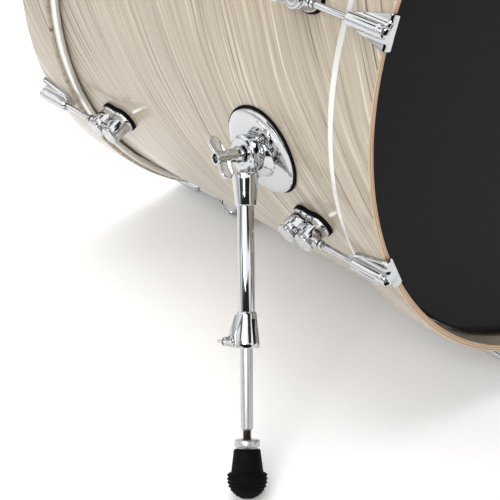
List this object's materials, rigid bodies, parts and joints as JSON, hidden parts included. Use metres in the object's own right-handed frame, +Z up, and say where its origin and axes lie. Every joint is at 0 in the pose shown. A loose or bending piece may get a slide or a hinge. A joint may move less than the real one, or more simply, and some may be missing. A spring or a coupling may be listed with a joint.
{
  "type": "bass drum",
  "caption": "Bass drum with wrapped wood shell and hoops, claw-hook tension hardware, glossy black front head and folding telescopic spurs on rubber feet.",
  "frame": {"origin": "on the floor, under the centre of the whole object's box", "axes": "+Z up, -Y towards the resonant head, +X to the drummer's left; the drum's own axis leans back three degrees about X"},
  "size_m": [0.8186, 0.537, 0.6061],
  "materials": {
    "wrap": "plies under a glossy streaked ivory and taupe covering",
    "hoop_wrap": "maple plies, the outer face with the same streaked covering, the edges clear-coated",
    "film": "glossy film",
    "coated_film": "rough sprayed white coating",
    "steel": "satin",
    "chrome": "polished",
    "steel_rod": "fine brushed, plated",
    "rubber": "matt"
  },
  "bodies": {
    "drum": {"shell": "wrap", "resonant_hoop": "hoop_wrap", "resonant_head": "film", "resonant_flesh_hoop": "steel", "batter_hoop": "hoop_wrap", "batter_head": "coated_film", "batter_flesh_hoop": "steel", "resonant_lug_1": "chrome", "resonant_lug_2": "chrome", "resonant_lug_3": "chrome", "resonant_lug_4": "chrome", "resonant_lug_5": "chrome", "resonant_lug_6": "chrome", "resonant_lug_7": "chrome", "resonant_lug_8": "chrome", "resonant_claw_1": "chrome", "resonant_claw_2": "chrome", "resonant_claw_3": "chrome", "resonant_claw_4": "chrome", "resonant_claw_5": "chrome", "resonant_claw_6": "chrome", "resonant_claw_7": "chrome", "resonant_claw_8": "chrome", "batter_lug_1": "chrome", "batter_lug_2": "chrome", "batter_lug_3": "chrome", "batter_lug_4": "chrome", "batter_lug_5": "chrome", "batter_lug_6": "chrome", "batter_lug_7": "chrome", "batter_lug_8": "chrome", "batter_claw_1": "chrome", "batter_claw_2": "chrome", "batter_claw_3": "chrome", "batter_claw_4": "chrome", "batter_claw_5": "chrome", "batter_claw_6": "chrome", "batter_claw_7": "chrome", "batter_claw_8": "chrome", "right_spur_gasket": "rubber", "right_spur_bracket": "chrome", "left_spur_gasket": "rubber", "left_spur_bracket": "chrome"},
    "right_leg": {"right_spur_knuckle": "chrome", "right_spur_outer_tube": "chrome", "right_spur_clamp_collar": "chrome"},
    "right_bracket_bolt": {"right_spur_bracket_wing_bolt": "chrome"},
    "right_clamp_screw": {"right_spur_clamp_wing_screw": "chrome"},
    "right_lower_leg": {"right_spur_inner_rod": "steel_rod"},
    "right_lock_nut": {"right_spur_lock_nut": "steel_rod"},
    "right_foot": {"right_spur_rubber_foot": "rubber"},
    "left_leg": {"left_spur_knuckle": "chrome", "left_spur_outer_tube": "chrome", "left_spur_clamp_collar": "chrome"},
    "left_bracket_bolt": {"left_spur_bracket_wing_bolt": "chrome"},
    "left_clamp_screw": {"left_spur_clamp_wing_screw": "chrome"},
    "left_lower_leg": {"left_spur_inner_rod": "steel_rod"},
    "left_lock_nut": {"left_spur_lock_nut": "steel_rod"},
    "left_foot": {"left_spur_rubber_foot": "rubber"}
  },
  "joints": [
    {"name": "right_spur_fold", "type": "hinge", "parent": "drum", "child": "right_leg", "pos_m": [-0.29274, -0.09813, 0.25726], "axis": [0.9824, -0.0777, -0.1698], "range_deg": [0, 110]},
    {"name": "right_bracket_bolt_turn", "type": "hinge", "parent": "drum", "child": "right_bracket_bolt", "pos_m": [-0.29274, -0.09813, 0.25726], "axis": [-0.9824, 0.0777, 0.1698], "range_deg": [0, 720]},
    {"name": "right_clamp_screw_turn", "type": "hinge", "parent": "right_leg", "child": "right_clamp_screw", "pos_m": [-0.34956, -0.16655, 0.11946], "axis": [-0.938, 0.1487, 0.313], "range_deg": [0, 720]},
    {"name": "right_leg_telescope", "type": "slide", "parent": "right_leg", "child": "right_lower_leg", "axis": [-0.3464, -0.4172, -0.8402], "range_m": [-0.055, 0.06]},
    {"name": "right_foot_travel", "type": "slide", "parent": "right_lower_leg", "child": "right_foot", "axis": [0.3464, 0.4172, 0.8402], "range_m": [0, 0.007]},
    {"name": "right_lock_nut_travel", "type": "slide", "parent": "right_lower_leg", "child": "right_lock_nut", "axis": [0.3464, 0.4172, 0.8402], "range_m": [0, 0.007]},
    {"name": "left_spur_fold", "type": "hinge", "parent": "drum", "child": "left_leg", "pos_m": [0.29274, -0.09813, 0.25726], "axis": [0.9824, 0.0777, 0.1698], "range_deg": [0, 110]},
    {"name": "left_bracket_bolt_turn", "type": "hinge", "parent": "drum", "child": "left_bracket_bolt", "pos_m": [0.29274, -0.09813, 0.25726], "axis": [0.9824, 0.0777, 0.1698], "range_deg": [0, 720]},
    {"name": "left_clamp_screw_turn", "type": "hinge", "parent": "left_leg", "child": "left_clamp_screw", "pos_m": [0.34956, -0.16655, 0.11946], "axis": [0.938, 0.1487, 0.313], "range_deg": [0, 720]},
    {"name": "left_leg_telescope", "type": "slide", "parent": "left_leg", "child": "left_lower_leg", "axis": [0.3464, -0.4172, -0.8402], "range_m": [-0.055, 0.06]},
    {"name": "left_foot_travel", "type": "slide", "parent": "left_lower_leg", "child": "left_foot", "axis": [-0.3464, 0.4172, 0.8402], "range_m": [0, 0.007]},
    {"name": "left_lock_nut_travel", "type": "slide", "parent": "left_lower_leg", "child": "left_lock_nut", "axis": [-0.3464, 0.4172, 0.8402], "range_m": [0, 0.007]}
  ],
  "couplings": [
    {"joint": "right_lock_nut_travel", "follows": "right_foot_travel", "ratio": 1},
    {"joint": "left_lock_nut_travel", "follows": "left_foot_travel", "ratio": 1}
  ]
}
